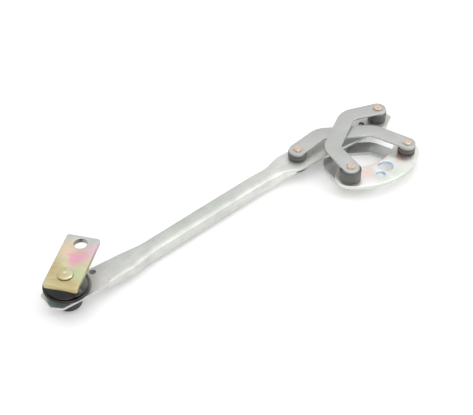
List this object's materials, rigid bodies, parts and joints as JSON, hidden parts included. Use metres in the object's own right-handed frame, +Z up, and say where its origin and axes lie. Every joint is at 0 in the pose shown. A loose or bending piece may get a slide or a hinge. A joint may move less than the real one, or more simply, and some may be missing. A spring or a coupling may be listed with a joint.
{
  "type": "wiper linkage",
  "caption": "Crossed-link wiper drive: channel drive rod with a ball-jointed motor crank at one end and paired crossed links carrying a spindle plate at the other.",
  "frame": {"origin": "centre of the motor-shaft hole in the crank, halfway through its thickness", "axes": "+X along the rod from the crank towards the links, +Z up along the motor shaft"},
  "size_m": [0.3478, 0.1095, 0.0345],
  "materials": {
    "rod_zinc": "bright zinc plate",
    "gold_passivate": "yellow iridescent passivate",
    "plate_passivate": "pale iridescent passivate",
    "link_zinc": "satin zinc plate",
    "pin_passivate": "yellow passivate",
    "bush_bronze": "sintered bronze",
    "washer_steel": "dull",
    "spacer_plastic": "matt",
    "boot_rubber": "glossy",
    "socket_plastic": "semi-gloss"
  },
  "bodies": {
    "rod": {"drive_rod": "rod_zinc", "ball_socket": "socket_plastic", "dust_boot": "boot_rubber", "bush_rod_inner": "bush_bronze", "bush_rod_outer": "bush_bronze"},
    "crank": {"motor_crank": "gold_passivate", "ball_stud": "gold_passivate"},
    "link_a": {"upper_link_a": "link_zinc", "lower_link_a": "link_zinc", "pin_rod_outer": "pin_passivate", "pin_plate_inner": "pin_passivate", "spacer_upper_rod_outer": "spacer_plastic", "spacer_upper_plate_inner": "spacer_plastic", "spacer_lower_rod_outer": "spacer_plastic", "spacer_lower_plate_inner": "spacer_plastic", "washer_rod_outer": "washer_steel", "washer_plate_inner": "washer_steel"},
    "link_b": {"upper_link_b": "link_zinc", "lower_link_b": "link_zinc", "pin_rod_inner": "pin_passivate", "pin_plate_outer": "pin_passivate", "spacer_upper_rod_inner": "spacer_plastic", "spacer_upper_plate_outer": "spacer_plastic", "spacer_lower_rod_inner": "spacer_plastic", "spacer_lower_plate_outer": "spacer_plastic", "washer_rod_inner": "washer_steel", "washer_plate_outer": "washer_steel"},
    "plate": {"spindle_plate": "plate_passivate", "bush_plate_outer": "bush_bronze"}
  },
  "joints": [
    {"name": "crank_turn", "type": "hinge", "parent": "rod", "child": "crank", "pos_m": [-0.02675, -0.01811, -0.0169], "axis": [0, 0, 1], "continuous": true},
    {"name": "link_a_swing", "type": "hinge", "parent": "rod", "child": "link_a", "pos_m": [0.29035, -0.03191, -0.0169], "axis": [0, 0, 1], "range_deg": [-5, 20]},
    {"name": "link_b_swing", "type": "hinge", "parent": "rod", "child": "link_b", "pos_m": [0.20395, -0.02171, -0.0169], "axis": [0, 0, 1], "range_deg": [-3.3, 13]},
    {"name": "plate_swing", "type": "hinge", "parent": "link_b", "child": "plate", "pos_m": [0.27765, -0.07671, -0.0169], "axis": [0, 0, 1], "range_deg": [-6.5, 26]}
  ],
  "couplings": [
    {"joint": "link_b_swing", "follows": "link_a_swing", "ratio": 0.6457},
    {"joint": "plate_swing", "follows": "link_a_swing", "ratio": 1.2927}
  ]
}
